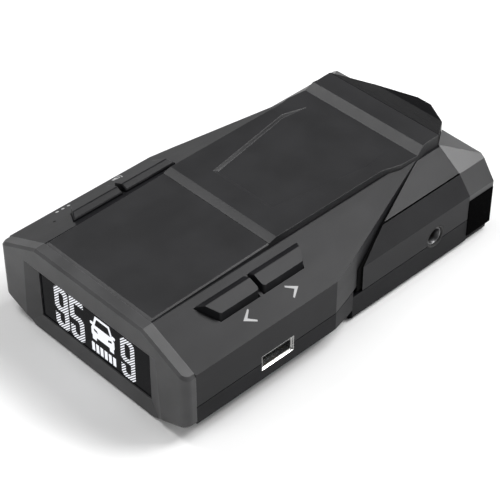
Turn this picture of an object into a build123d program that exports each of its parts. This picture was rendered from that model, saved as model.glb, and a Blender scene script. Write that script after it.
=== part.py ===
from build123d import *
import os

# Radar detector for a car windscreen. +X right, +Y from the display face to the
# antenna end, +Z up, origin under the middle of the base. Millimetres.

# Overall sizes
length = 125.6
width = 72.0
wall = 2.0
panel_gap = 0.1

# Cross-section of the case
floor_half = 23.5
wall_foot = 5.0
seam = 10.5
seam_groove = 0.25
wall_top = 21.5
shoulder_half = 20.6
shoulder_top = 28.35
deck_seat = 27.35
deck_half = 20.1

# Plan of the case, as distances behind the display face
bezel_depth = 3.6
bend_start = 52.3
bend_end = 58.6
bend_inset = 1.8
notch_half = 21.2
notch_end = 98.3
tail_inset = 2.8
tail_end = 107.6
tail_wall_top = 16.8
tail_floor_inset = 1.2
tail_foot = 1.2
tail_seam = 8.4
groove_half = 28.9
groove_height = 22.2
groove_width = 0.45
groove_depth = 1.0
groove_tilt = 43.0
wedge_foot = 65.2
seal_drop = 0.45

# Front frame and display
corner_radius = 2.4
face_chamfer = 0.7
opening_half = 25.5
opening_foot_half = 26.8
opening_top = 21.8
opening_foot = -0.4
glass_half = 21.5
glass_foot = 4.3
glass_top = 19.4
recess_depth = 1.5
glass_lip = 0.4
glass_margin = 1.0
glass_thickness = 1.0
glass_clearance = 0.1
panel_thickness = 1.4
holder_thickness = 1.6

# Deck plates
plate_front = 4.4
plate_front_top = 28.75
plate_end = 43.4
plate_end_top = 29.65
cover_step = 46.2
cover_top = 30.35
kink = 84.0
ramp_end = 98.3
ramp_end_top = 29.0
spoiler = 101.0
spoiler_top = 30.8
deck_rear_top = 31.0
deck_rear_half = 20.6
flare_start = 86.0
flare_end = 91.5
flare_half = 21.3
flare_return = 102.5
deck_chamfer = 0.35
pocket_start = 53.0
pocket_half = 10.9
pocket_end_half = 16.2
pocket_tail_half = 15.0
pocket_depth = 0.8
pocket_bevel = 0.45
pocket_front_bevel = 1.6

# Rear cap and lens
rear_inset = 2.6
rear_side_end = 117.6
rear_corner_inset = 9.2
rear_corner_end = 118.2
snout_half = 12.5
snout_start = 118.8
snout_tip_half = 2.5
lens_foot = 2.6
lens_top = 15.0
lens_wall = 1.8
sill_foot = 0.6
sill_inset = 0.9
hood_knee_top = 25.4
hood_lip_top = 22.8
bumper_front_top = 27.7
bumper_rear_top = 22.8

# Buttons and switches
button_inner = 23.1
button_outer = 28.7
button_front = 15.3
button_front_slant = 3.4
button_rear = 50.4
button_rear_slant = 3.2
button_split = 32.5
button_gap = 1.5
button_proud_inner = 0.75
button_proud = 2.4
button_ridge = 1.95
button_corner = 0.8
button_clearance = 0.25
button_travel = 0.6
button_edge = 0.25
flange_reach = 0.55
flange_clearance = 0.1
flange_foot = 20.4
post_radius = 1.5
switch_size = 6.2
switch_height = 3.4
switch_offset = 26.3
switch_places = (21.8, 41.2)
stem_radius = 1.75
stem_clearance = 0.1
stem_rise = 1.2
stem_depth = 2.4

# Boards and what they carry
board_foot = 6.4
board_thickness = 1.6
board_half = 31.0
board_front = 14.0
board_step = 57.0
board_end = 97.0
board_tail_half = 16.4
standoff_radius = 2.5
standoff_half = 20.0
standoff_places = (17.2, 53.6)
board_screw_radius = 0.95
board_screw_head = 2.0
board_screw_head_height = 1.2
pilot_clearance = 0.05
shield_half = 11.0
shield_front = 40.0
shield_end = 55.0
shield_height = 2.8
gps_size = 18.0
gps_height = 4.0
gps_place = 28.5
gps_corner = 1.0
patch_size = 12.6
patch_thickness = 0.3
shield_corner = 0.8
shield_wall = 0.4
ribbon_thickness = 0.4
ribbon_half = 6.0
ribbon_height = 12.0
ribbon_rise = 1.6

# Sockets
usb_place = 31.3
usb_width = 11.2
usb_height = 4.8
usb_length = 12.5
usb_wall = 0.5
usb_inset = 0.65
usb_clearance = 0.1
tongue_width = 7.4
tongue_thickness = 1.3
tongue_recess = 2.5
jack_place = 94.0
jack_rise = 1.9
jack_bore = 2.75
jack_depth = 7.0
jack_barrel = 3.4
jack_countersink = 0.3
jack_body_half = 4.3
jack_body_margin = 0.38
jack_clearance = 0.1
contact_radius = 1.6
contact_thickness = 0.3
cradle_half = 2.6

# Antenna, laser module, loudspeaker
horn_half = 12.5
horn_front = 62.0
horn_end = 104.0
horn_height = 12.0
horn_mouth = 85.0
horn_wall = 1.2
guide_width = 7.0
guide_height = 3.4
guide_depth = 8.0
receiver_half = 10.0
receiver_length = 18.0
receiver_thickness = 1.4
laser_half = 6.0
laser_length = 11.0
laser_height = 5.0
laser_lens_radius = 2.0
laser_lens_depth = 1.0
speaker_radius = 11.0
speaker_height = 3.8
speaker_place = 74.0
speaker_rim = 1.4
speaker_hollow = 1.6
grille_slots = 6
grille_pitch = 2.6
grille_slot_width = 1.2
grille_slot_length = 13.0

# Case screws
screw_half = 19.5
screw_places = (10.2, 102.4)
screw_boss_radius = 3.0
screw_radius = 1.2
screw_head_radius = 2.2
screw_head_height = 1.8
screw_recess = 0.8
screw_grip = 6.0
screw_slot = 0.5

half_width = width / 2
tail_half = half_width - tail_inset
rear_half = half_width - rear_inset
rear_corner_half = half_width - rear_corner_inset
floor_slope = wall_foot / (half_width - floor_half)
holder_foot = wall * (1 + floor_slope**2) ** 0.5 + panel_gap
wedge_slope = (tail_half - notch_half) / (notch_end - wedge_foot)
jack_body_front = jack_place - jack_body_half
jack_body_inner = notch_half + (notch_end - jack_body_front) * wedge_slope + jack_body_margin
board_top = board_foot + board_thickness
shoulder_slope = (shoulder_top - wall_top) / (half_width - shoulder_half)
tail_slope = (deck_seat - groove_height) / (groove_half - notch_half - panel_gap)
notch_slope = (half_width - bend_inset - notch_half) / (notch_end - bend_end)
tail_start = bend_end + (tail_inset - bend_inset) / notch_slope
glass_front = recess_depth + glass_lip
usb_centre = board_top + usb_height / 2
jack_centre = tail_seam + jack_rise
horn_top = board_top + horn_height
section_run = tail_end - bezel_depth


def back(distance):
    """Y of a place that lies this far behind the display face."""
    return distance - length / 2


def cross(distance):
    """Plane across the case, this far behind the display face."""
    return Plane.XZ.offset(-back(distance))


def mirrored(points, tip=None):
    """Close a right-hand outline, listed from bottom or front, with its mirror image."""
    middle = [tip] if tip else []
    return points + middle + [(-x, y) for x, y in reversed(points)]


def shoulder_z(x):
    """Height of the sloped shoulder at this distance from the middle."""
    return wall_top + (half_width - x) * shoulder_slope


def case_plan(start, end):
    """Plan of the main case: straight sides, a bend, then a long diagonal."""
    return mirrored(
        [
            (half_width, back(start)),
            (half_width, back(bend_start)),
            (half_width - bend_inset, back(bend_end)),
            (notch_half, back(notch_end)),
            (notch_half, back(end)),
        ]
    )


def base_plan(start, end):
    """Plan of the lower shell: main case, then the narrower tail."""
    return mirrored(
        [
            (half_width, back(start)),
            (half_width, back(bend_start)),
            (half_width - bend_inset, back(bend_end)),
            (tail_half, back(tail_start)),
            (tail_half, back(end)),
        ]
    )


def deck_plan(start, end):
    """Plan of the deck: parallel sides that flare out a little beside the ramp."""
    return mirrored(
        [
            (deck_half, back(start)),
            (deck_half, back(flare_start)),
            (flare_half, back(flare_end)),
            (flare_half, back(ramp_end)),
            (deck_rear_half, back(flare_return)),
            (deck_rear_half, back(end)),
        ]
    )


def rear_plan(start):
    """Plan of the rear cap: straight sides, clipped corners and a blunt snout."""
    return mirrored(
        [
            (rear_half, back(start)),
            (rear_half, back(rear_side_end)),
            (rear_corner_half, back(rear_corner_end)),
            (snout_half, back(snout_start)),
            (snout_tip_half, back(length)),
        ]
    )


def hood_plan(start, end):
    """Plan of the dark hood: as wide as the deck in front, narrowing to the snout."""
    return mirrored(
        [
            (deck_rear_half, back(start)),
            (deck_rear_half, back(tail_end)),
            (snout_half, back(snout_start)),
            (snout_tip_half, back(end)),
        ]
    )


def rear_profile(start, foot, front_top, knee_top, rear_top):
    """Side view of a rear piece whose top slopes down, with a knee, to the rear edge."""
    return [
        (back(start), foot),
        (back(start), front_top),
        (back(tail_end), front_top),
        (back(snout_start), knee_top),
        (back(length), rear_top),
        (back(length), foot),
    ]


def tail_section(foot, top):
    """Cross-section of the tail: wall, lower slope, upper slope."""
    top_half = groove_half - (top - groove_height) / tail_slope
    return mirrored(
        [
            (tail_half, foot),
            (tail_half, tail_wall_top),
            (groove_half, groove_height),
            (top_half, top),
        ]
    )


def base_section():
    """Cross-section of the tail's lower part, with a small chamfer along the floor."""
    return mirrored(
        [
            (tail_half - tail_floor_inset, 0),
            (tail_half, tail_foot),
            (tail_half, tail_seam),
        ]
    )


def case_section(foot=0.0):
    """Cross-section of the case above a given height."""
    if foot > wall_foot:
        side = [(half_width, foot)]
    else:
        side = [(floor_half, foot), (half_width, wall_foot)]
    return mirrored(side + [(half_width, wall_top), (shoulder_half, shoulder_top)])


def block(plan, profile, section, inset=0.0):
    """Common volume of a plan, a side profile and a cross-section."""
    with BuildPart() as piece:
        with BuildSketch(Plane.XY):
            Polygon(*plan, align=None)
            if inset:
                offset(amount=-inset, kind=Kind.INTERSECTION)
        extrude(amount=2 * width)
        with BuildSketch(Plane.YZ):
            Polygon(*profile, align=None)
            if inset:
                offset(amount=-inset, kind=Kind.INTERSECTION)
        extrude(amount=width, both=True, mode=Mode.INTERSECT)
        with BuildSketch(Plane.XZ):
            Polygon(*section, align=None)
            if inset:
                offset(amount=-inset, kind=Kind.INTERSECTION)
        extrude(amount=length, both=True, mode=Mode.INTERSECT)
    return piece.part


def wedge_plan():
    """Plan in front of the line where the right-hand surface of the tail begins."""
    foot = wedge_foot - (half_width - tail_half) / wedge_slope
    return [
        (notch_half, back(notch_end)),
        (half_width, back(foot)),
        (half_width, back(bezel_depth)),
        (notch_half, back(bezel_depth)),
    ]


def button_plan(is_front):
    """Plan of a right-hand button, with its slanted outer end."""
    if is_front:
        near = button_front
        far = button_split - button_gap / 2
        return [
            (button_inner, back(near)),
            (button_outer, back(near + button_front_slant)),
            (button_outer, back(far)),
            (button_inner, back(far)),
        ]
    near = button_split + button_gap / 2
    far = button_rear
    return [
        (button_inner, back(near)),
        (button_outer, back(near)),
        (button_outer, back(far - button_rear_slant)),
        (button_inner, back(far)),
    ]


def flip(points, side):
    """Put a right-hand outline on the left when side is -1."""
    return [(side * x, y) for x, y in points]


def glass_outline(margin):
    """Outline of the glass opening, grown by a margin all round."""
    return [
        (-glass_half - margin, glass_foot - margin),
        (glass_half + margin, glass_foot - margin),
        (glass_half + margin, glass_top + margin),
        (-glass_half - margin, glass_top + margin),
    ]


def holder_outline():
    """Outline of the display holder's frame, which stands on the floor of the case."""
    frame_half = glass_half + 2 * glass_margin
    return mirrored([(frame_half, holder_foot), (frame_half, glass_top + 2 * glass_margin)])


def pocket_plan(inset, front_inset):
    """Plan of the shallow pocket in the rear deck, which runs out on the ramp."""
    ramp = (cover_top - ramp_end_top) / (ramp_end - kink)
    run_out = kink + pocket_depth / ramp + inset
    return mirrored(
        [
            (pocket_half - inset, back(pocket_start + front_inset)),
            (pocket_end_half - inset, back(kink)),
            (pocket_tail_half - inset, back(run_out)),
        ]
    )


def button_section():
    """Cross-section of a button: inner step, slope up to a ridge, top along the shoulder."""
    ridge = button_inner + button_ridge
    return [
        (button_inner, flange_foot),
        (button_outer, flange_foot),
        (button_outer, shoulder_z(button_outer) + button_proud),
        (ridge, shoulder_z(ridge) + button_proud),
        (button_inner, shoulder_z(button_inner) + button_proud_inner),
    ]


def flange_section():
    """Cross-section of a button's flange, under the sloped skin of the shell."""
    drop = wall * (1 + shoulder_slope**2) ** 0.5 + flange_clearance
    inner = button_inner - flange_reach
    outer = button_outer + flange_reach
    return [
        (inner, flange_foot),
        (outer, flange_foot),
        (outer, shoulder_z(outer) - drop),
        (inner, shoulder_z(inner) - drop),
    ]


def plain_profile(start, foot, top):
    """Side view of a straight piece at the rear end."""
    return [
        (back(start), foot),
        (back(start), top),
        (back(length), top),
        (back(length), foot),
    ]


upright = (Align.CENTER, Align.CENTER, Align.MIN)
everywhere = [(-width, -width), (width, -width), (width, width), (-width, width)]
os.makedirs("parts", exist_ok=True)

# Front frame around the display
with BuildPart() as front_bezel:
    with BuildSketch(cross(0)):
        Polygon(*case_section(), align=None)
    extrude(amount=-bezel_depth)
    corners = front_bezel.edges().filter_by(Axis.Z).group_by(Axis.Y)[0]
    fillet(corners, radius=corner_radius)
    rim = front_bezel.faces().sort_by(Axis.Y)[0].edges()
    chamfer(rim, length=face_chamfer)
    with BuildSketch(cross(0)):
        Polygon(
            (-opening_foot_half, opening_foot),
            (opening_foot_half, opening_foot),
            (opening_half, opening_top),
            (-opening_half, opening_top),
            align=None,
        )
    with BuildSketch(cross(recess_depth)):
        Polygon(*glass_outline(0), align=None)
    loft(ruled=True, mode=Mode.SUBTRACT)
    with BuildSketch(cross(recess_depth)):
        Polygon(*glass_outline(0), align=None)
    extrude(amount=-bezel_depth, mode=Mode.SUBTRACT)
    with BuildSketch(cross(glass_front)):
        Polygon(*glass_outline(glass_margin + glass_clearance), align=None)
    extrude(amount=-bezel_depth, mode=Mode.SUBTRACT)
front_bezel.part.label = "front_bezel"
export_step(front_bezel.part, "parts/front_bezel.step")

# Dark glass, the display module behind it and its holder
with BuildPart() as display_window:
    with BuildSketch(cross(glass_front)):
        Polygon(*glass_outline(glass_margin), align=None)
    extrude(amount=-glass_thickness)
display_window.part.label = "display_window"
export_step(display_window.part, "parts/display_window.step")

with BuildPart() as display_panel:
    with BuildSketch(cross(glass_front + glass_thickness)):
        Polygon(*glass_outline(0), align=None)
    extrude(amount=-panel_thickness)
display_panel.part.label = "display_panel"
export_step(display_panel.part, "parts/display_panel.step")

holder_front = glass_front + glass_thickness + panel_thickness
with BuildPart() as display_holder:
    with BuildSketch(cross(holder_front)):
        Polygon(*glass_outline(glass_margin), align=None)
    extrude(amount=-holder_thickness)
    with BuildSketch(cross(bezel_depth)):
        Polygon(*holder_outline(), align=None)
        Polygon(*glass_outline(glass_clearance), align=None, mode=Mode.SUBTRACT)
    extrude(amount=bezel_depth - holder_front)
display_holder.part.label = "display_holder"
export_step(display_holder.part, "parts/display_holder.step")

# Hollows of the main case and of the tail
with BuildPart() as case_hollow:
    with BuildSketch(cross(0)):
        Polygon(*case_section(), align=None)
        offset(amount=-wall, kind=Kind.INTERSECTION)
    extrude(amount=-length)
    with BuildSketch(Plane.XY):
        Polygon(*case_plan(0, length), align=None)
        offset(amount=-wall, kind=Kind.INTERSECTION)
    extrude(amount=shoulder_top, mode=Mode.INTERSECT)

with BuildPart() as base_hollow:
    with BuildSketch(cross(0)):
        Polygon(*case_section(), align=None)
        offset(amount=-wall, kind=Kind.INTERSECTION)
    extrude(amount=-length)
    with BuildSketch(Plane.XY):
        Polygon(*base_plan(0, length), align=None)
        offset(amount=-wall, kind=Kind.INTERSECTION)
    extrude(amount=shoulder_top, mode=Mode.INTERSECT)

with BuildPart() as tail_hollow:
    with BuildSketch(cross(bend_end)):
        Polygon(*tail_section(tail_seam - 2 * wall, deck_seat), align=None)
        offset(amount=-wall, kind=Kind.INTERSECTION)
    extrude(amount=bend_end - length)

# Inside of the tail at the floor and at the top of its sealed grooves
with BuildPart() as groove_core:
    with BuildSketch(cross(bend_end)):
        Polygon(*tail_section(tail_seam, deck_seat), align=None)
        offset(amount=-groove_depth, kind=Kind.INTERSECTION)
    extrude(amount=bend_end - length)

with BuildPart() as seal_core:
    with BuildSketch(cross(bend_end)):
        Polygon(*tail_section(tail_seam, deck_seat), align=None)
        offset(amount=-seal_drop, kind=Kind.INTERSECTION)
    extrude(amount=bend_end - tail_end)

# Upper shell with the shoulders, button holes and the socket cut-out
with BuildPart() as top_shell:
    with BuildSketch(cross(bezel_depth)):
        Polygon(*case_section(seam), align=None)
    extrude(amount=bezel_depth - notch_end)
    with BuildSketch(Plane.XY):
        Polygon(*case_plan(bezel_depth, notch_end), align=None)
    extrude(amount=shoulder_top, mode=Mode.INTERSECT)
    add(case_hollow.part, mode=Mode.SUBTRACT)
    with BuildSketch(Plane.XY.offset(deck_seat)):
        Polygon(*deck_plan(0, length), align=None)
        offset(amount=panel_gap, kind=Kind.INTERSECTION)
    extrude(amount=shoulder_top - deck_seat, mode=Mode.SUBTRACT)
    for side in (-1, 1):
        with Locations((side * screw_half, back(screw_places[0]), seam)):
            Cylinder(screw_boss_radius, deck_seat - wall / 2 - seam, align=upright)
            Cylinder(
                screw_radius + pilot_clearance,
                screw_grip + wall,
                align=upright,
                mode=Mode.SUBTRACT,
            )
    for side in (-1, 1):
        for is_front in (True, False):
            with BuildSketch(Plane.XY.offset(flange_foot)):
                Polygon(*flip(button_plan(is_front), side), align=None)
                offset(amount=button_clearance, kind=Kind.INTERSECTION)
            extrude(amount=shoulder_top, mode=Mode.SUBTRACT)
    with BuildSketch(Plane.YZ.offset(tail_half - wall)):
        with Locations((back(usb_place), usb_centre)):
            Rectangle(usb_width + 2 * usb_clearance, usb_height + 2 * usb_clearance)
    extrude(amount=half_width, mode=Mode.SUBTRACT)
    with BuildSketch(Plane.XY.offset(seam)):
        Polygon(*case_plan(0, length), align=None)
        offset(amount=-seam_groove, kind=Kind.INTERSECTION, mode=Mode.SUBTRACT)
    extrude(amount=seam_groove, mode=Mode.SUBTRACT)
top_shell.part.label = "top_shell"
export_step(top_shell.part, "parts/top_shell.step")

with BuildPart() as rear_sill:
    with BuildSketch(Plane.XY.offset(sill_foot)):
        Polygon(*rear_plan(tail_end - wall), align=None)
        offset(amount=-sill_inset, kind=Kind.INTERSECTION)
    extrude(amount=lens_foot - sill_foot)

# Lower shell: floor, screw bosses, standoffs, loudspeaker slots and rear sill
with BuildPart() as bottom_shell:
    with BuildSketch(cross(bezel_depth)):
        Polygon(*case_section(), align=None)
    extrude(amount=-section_run)
    with BuildSketch(Plane.XY):
        Polygon(*base_plan(bezel_depth, tail_end), align=None)
    extrude(amount=seam, mode=Mode.INTERSECT)
    with BuildSketch(Plane.XY.offset(tail_seam)):
        with Locations((0, back(tail_start))):
            Rectangle(2 * width, length, align=(Align.CENTER, Align.MIN))
    extrude(amount=seam, mode=Mode.SUBTRACT)
    with BuildSketch(cross(tail_start)):
        Polygon(*base_section(), align=None)
    extrude(amount=tail_start - tail_end)
    add(base_hollow.part, mode=Mode.SUBTRACT)
    add(rear_sill.part)
    for side in (-1, 1):
        for place, boss_top in zip(screw_places, (seam, tail_seam)):
            with Locations((side * screw_half, back(place), 0)):
                Cylinder(screw_boss_radius, boss_top, align=upright)
                Cylinder(
                    screw_radius + pilot_clearance,
                    seam,
                    align=upright,
                    mode=Mode.SUBTRACT,
                )
                Cylinder(
                    screw_head_radius + pilot_clearance,
                    screw_recess + screw_head_height,
                    align=upright,
                    mode=Mode.SUBTRACT,
                )
        for place in standoff_places:
            with Locations((side * standoff_half, back(place), wall)):
                Cylinder(
                    standoff_radius,
                    board_foot - wall,
                    align=upright,
                )
                Cylinder(
                    board_screw_radius + pilot_clearance,
                    board_foot - wall,
                    align=upright,
                    mode=Mode.SUBTRACT,
                )
    with BuildSketch(Plane.XY):
        with Locations((0, back(speaker_place))):
            with GridLocations(0, grille_pitch, 1, grille_slots):
                SlotOverall(grille_slot_length, grille_slot_width)
    extrude(amount=wall, mode=Mode.SUBTRACT)
    with BuildSketch(Plane.YZ.offset(tail_half - wall)):
        with Locations((back(usb_place), usb_centre)):
            Rectangle(usb_width + 2 * usb_clearance, usb_height + 2 * usb_clearance)
    extrude(amount=half_width, mode=Mode.SUBTRACT)
    with BuildSketch(Plane.YZ.offset(tail_half - 2 * wall)):
        with Locations((back(jack_place), jack_centre)):
            Circle(jack_barrel + jack_clearance)
    extrude(amount=half_width, mode=Mode.SUBTRACT)
    with BuildSketch(Plane.XY.offset(wall)):
        with Locations(((jack_body_inner + tail_half - wall) / 2, back(jack_place))):
            Rectangle(2 * cradle_half, 2 * cradle_half)
    extrude(amount=jack_centre - jack_body_half - wall)
bottom_shell.part.label = "bottom_shell"
export_step(bottom_shell.part, "parts/bottom_shell.step")

# Space of the sealed grooves: one along the crease of the tail, one beside the diagonal
tail_grooves = {}
for side in (-1, 1):
    with BuildPart() as groove:
        with BuildSketch(cross(bend_end)):
            with Locations((side * groove_half, groove_height)):
                Rectangle(groove_width, 4 * groove_depth, rotation=-side * groove_tilt)
        extrude(amount=bend_end - length)
        with BuildSketch(Plane.XY.offset(tail_seam)):
            Polygon(*flip(wedge_plan(), side), align=None)
        extrude(amount=shoulder_top - tail_seam)
        add(groove_core.part, mode=Mode.SUBTRACT)
    tail_grooves[side] = groove.part

for side, name in ((-1, "left_seal"), (1, "right_seal")):
    with BuildPart() as seal:
        add(tail_grooves[side])
        add(seal_core.part, mode=Mode.INTERSECT)
        with BuildSketch(Plane.XY.offset(tail_seam - wall)):
            Polygon(*case_plan(0, notch_end + panel_gap), align=None)
            offset(amount=panel_gap, kind=Kind.INTERSECTION)
        extrude(amount=shoulder_top, mode=Mode.SUBTRACT)
    seal.part.label = name
    export_step(seal.part, f"parts/{name}.step")

# Tail of the upper case, narrower than the main case, with the power jack's hole
with BuildPart() as tail_housing:
    with BuildSketch(cross(bend_end)):
        Polygon(*tail_section(tail_seam, deck_seat), align=None)
    extrude(amount=bend_end - tail_end)
    add(tail_hollow.part, mode=Mode.SUBTRACT)
    with BuildSketch(Plane.XY.offset(tail_seam - wall)):
        Polygon(*case_plan(0, notch_end + panel_gap), align=None)
        offset(amount=panel_gap, kind=Kind.INTERSECTION)
    extrude(amount=shoulder_top, mode=Mode.SUBTRACT)
    for side in (-1, 1):
        with Locations((side * screw_half, back(screw_places[1]), tail_seam)):
            Cylinder(
                screw_boss_radius,
                deck_seat - wall / 2 - tail_seam,
                align=upright,
            )
            Cylinder(
                screw_radius + pilot_clearance,
                screw_grip + 2 * wall,
                align=upright,
                mode=Mode.SUBTRACT,
            )
        add(tail_grooves[side], mode=Mode.SUBTRACT)
    with BuildSketch(Plane.YZ.offset(tail_half - 2 * wall)):
        with Locations((back(jack_place), jack_centre)):
            Circle(jack_barrel + jack_clearance)
    extrude(amount=half_width, mode=Mode.SUBTRACT)
    with BuildSketch(Plane.XY.offset(tail_seam)):
        Rectangle(2 * width, length * 2)
        Rectangle(2 * (tail_half - seam_groove), length * 2, mode=Mode.SUBTRACT)
    extrude(amount=seam_groove, mode=Mode.SUBTRACT)
tail_housing.part.label = "tail_housing"
export_step(tail_housing.part, "parts/tail_housing.step")

# Deck plates
with BuildPart() as front_deck_plate:
    with BuildSketch(Plane.YZ):
        Polygon(
            (back(bezel_depth), deck_seat),
            (back(bezel_depth), shoulder_top),
            (back(plate_front), plate_front_top),
            (back(plate_end), plate_end_top),
            (back(plate_end), deck_seat),
            align=None,
        )
    extrude(amount=deck_half, both=True)
    rim = front_deck_plate.faces().sort_by(Axis.Z)[-1].edges().sort_by(Axis.X)
    chamfer([rim[0], rim[-1]], length=deck_chamfer)
front_deck_plate.part.label = "front_deck_plate"
export_step(front_deck_plate.part, "parts/front_deck_plate.step")

with BuildPart() as rear_deck_cover:
    with BuildSketch(Plane.YZ):
        Polygon(
            (back(plate_end) + panel_gap, deck_seat),
            (back(plate_end) + panel_gap, plate_end_top),
            (back(cover_step), cover_top),
            (back(kink), cover_top),
            (back(ramp_end), ramp_end_top),
            (back(spoiler), spoiler_top),
            (back(tail_end) - panel_gap, deck_rear_top),
            (back(tail_end) - panel_gap, deck_seat),
            align=None,
        )
    extrude(amount=half_width, both=True)
    with BuildSketch(Plane.XY.offset(deck_seat)):
        Polygon(*deck_plan(0, length), align=None)
    extrude(amount=wall_top, mode=Mode.INTERSECT)
    with BuildSketch(Plane.XY.offset(cover_top)):
        Polygon(*pocket_plan(0, 0), align=None)
    with BuildSketch(Plane.XY.offset(cover_top - pocket_depth)):
        Polygon(*pocket_plan(pocket_bevel, pocket_front_bevel), align=None)
    loft(ruled=True, mode=Mode.SUBTRACT)
rear_deck_cover.part.label = "rear_deck_cover"
export_step(rear_deck_cover.part, "parts/rear_deck_cover.step")

# Rear cap: dark hood in the middle, grey bumpers at the sides, wrap-round lens below
hood_tops = (deck_rear_top, hood_knee_top, hood_lip_top)
hood_outer = block(
    hood_plan(tail_end, length),
    rear_profile(tail_end, lens_top, *hood_tops),
    everywhere,
)
hood_inner = block(
    hood_plan(tail_end - 2 * wall, length),
    rear_profile(tail_end - 2 * wall, lens_top - 2 * wall, *hood_tops),
    everywhere,
    inset=lens_wall,
)
with BuildPart() as rear_hood:
    add(hood_outer)
    add(hood_inner, mode=Mode.SUBTRACT)
rear_hood.part.label = "rear_hood"
export_step(rear_hood.part, "parts/rear_hood.step")

bumper_tops = (bumper_front_top, bumper_rear_top, bumper_rear_top)
bumper_outer = block(
    rear_plan(tail_end),
    rear_profile(tail_end, lens_top, *bumper_tops),
    tail_section(lens_top, deck_rear_top),
)
bumper_inner = block(
    rear_plan(tail_end - 2 * wall),
    rear_profile(tail_end - 2 * wall, lens_top - 2 * wall, *bumper_tops),
    tail_section(lens_top - 2 * wall, deck_rear_top),
    inset=lens_wall,
)
for side, name in ((-1, "left_bumper"), (1, "right_bumper")):
    with BuildPart() as bumper:
        add(bumper_outer)
        add(bumper_inner, mode=Mode.SUBTRACT)
        with BuildSketch(Plane.XY):
            Polygon(*hood_plan(tail_end - 2 * wall, length + wall), align=None)
            offset(amount=panel_gap, kind=Kind.INTERSECTION)
        extrude(amount=2 * width, mode=Mode.SUBTRACT)
        keep = Keep.TOP if side > 0 else Keep.BOTTOM
        split(bisect_by=Plane.YZ, keep=keep)
    bumper.part.label = name
    export_step(bumper.part, f"parts/{name}.step")

lens_outer = block(
    rear_plan(tail_end),
    plain_profile(tail_end, lens_foot, lens_top),
    everywhere,
)
lens_inner = block(
    rear_plan(tail_end - 2 * wall),
    plain_profile(tail_end - 2 * wall, lens_foot - 2 * wall, lens_top + 2 * wall),
    everywhere,
    inset=lens_wall,
)
with BuildPart() as rear_lens:
    add(lens_outer)
    add(lens_inner, mode=Mode.SUBTRACT)
rear_lens.part.label = "rear_lens"
export_step(rear_lens.part, "parts/rear_lens.step")

# Four press buttons with their switch stems
button_names = {
    (1, True): "button_next",
    (1, False): "button_previous",
    (-1, True): "button_menu",
    (-1, False): "button_mute",
}
stem_top = board_top + switch_height + stem_rise
for (side, is_front), name in button_names.items():
    place = switch_places[0] if is_front else switch_places[1]
    plan = flip(button_plan(is_front), side)
    with BuildPart() as button:
        with BuildSketch(Plane.XZ):
            Polygon(*flip(button_section(), side), align=None)
        extrude(amount=length, both=True)
        with BuildSketch(Plane.XY):
            Polygon(*plan, align=None)
        extrude(amount=width, mode=Mode.INTERSECT)
        uprights = button.edges().filter_by(Axis.Z).sort_by(Axis.X)
        fillet(uprights[-2:] if side > 0 else uprights[:2], radius=button_corner)
        cap_face = button.faces().sort_by(Axis.Z)[-1]
        chamfer(cap_face.edges(), length=button_edge)
    with BuildPart() as flange:
        with BuildSketch(Plane.XZ):
            Polygon(*flip(flange_section(), side), align=None)
        extrude(amount=length, both=True)
        with BuildSketch(Plane.XY):
            Polygon(*plan, align=None)
            offset(amount=flange_reach, kind=Kind.INTERSECTION)
        extrude(amount=width, mode=Mode.INTERSECT)
    with BuildPart() as whole:
        add(button.part)
        add(flange.part)
        with Locations((side * switch_offset, back(place), stem_top)):
            Cylinder(
                post_radius,
                flange_foot - stem_top + wall / 4,
                align=upright,
            )
    whole.part.label = name
    export_step(whole.part, f"parts/{name}.step")

    with BuildPart() as stem:
        foot = board_top + switch_height - stem_depth
        with Locations((side * switch_offset, back(place), foot)):
            Cylinder(
                stem_radius,
                stem_top - foot,
                align=upright,
            )
    stem.part.label = f"{name}_stem"
    export_step(stem.part, f"parts/{name}_stem.step")

# Main board, with a narrower tail under the horn
with BuildPart() as main_board:
    with BuildSketch(Plane.XY.offset(board_foot)):
        with Locations((0, back((board_front + board_step) / 2))):
            Rectangle(2 * board_half, board_step - board_front)
        with Locations((0, back((board_step + board_end) / 2))):
            Rectangle(2 * board_tail_half, board_end - board_step)
        for side in (-1, 1):
            for place in standoff_places:
                with Locations((side * standoff_half, back(place))):
                    Circle(board_screw_radius + pilot_clearance, mode=Mode.SUBTRACT)
    extrude(amount=board_thickness)
main_board.part.label = "main_board"
export_step(main_board.part, "parts/main_board.step")

with BuildPart() as tact_switches:
    for side in (-1, 1):
        for place in switch_places:
            with Locations((side * switch_offset, back(place), board_top)):
                Box(switch_size, switch_size, switch_height, align=upright)
            with Locations(
                (side * switch_offset, back(place), board_top + switch_height)
            ):
                Cylinder(
                    stem_radius + stem_clearance,
                    stem_depth + button_travel + stem_clearance,
                    align=(Align.CENTER, Align.CENTER, Align.MAX),
                    mode=Mode.SUBTRACT,
                )
tact_switches.part.label = "tact_switches"
export_step(tact_switches.part, "parts/tact_switches.step")

with BuildPart() as receiver_shield:
    with Locations((0, back((shield_front + shield_end) / 2), board_top)):
        Box(2 * shield_half, shield_end - shield_front, shield_height, align=upright)
    fillet(receiver_shield.edges().filter_by(Axis.Z), radius=shield_corner)
    foot = receiver_shield.faces().sort_by(Axis.Z)[0]
    offset(amount=-shield_wall, openings=foot)
receiver_shield.part.label = "receiver_shield"
export_step(receiver_shield.part, "parts/receiver_shield.step")

with BuildPart() as gps_antenna:
    with Locations((0, back(gps_place), board_top)):
        Box(gps_size, gps_size, gps_height, align=upright)
    chamfer(gps_antenna.edges().filter_by(Axis.Z), length=gps_corner)
gps_antenna.part.label = "gps_antenna"
export_step(gps_antenna.part, "parts/gps_antenna.step")

with BuildPart() as gps_patch:
    with Locations((0, back(gps_place), board_top + gps_height)):
        Box(patch_size, patch_size, patch_thickness, align=upright)
gps_patch.part.label = "gps_patch"
export_step(gps_patch.part, "parts/gps_patch.step")

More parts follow.
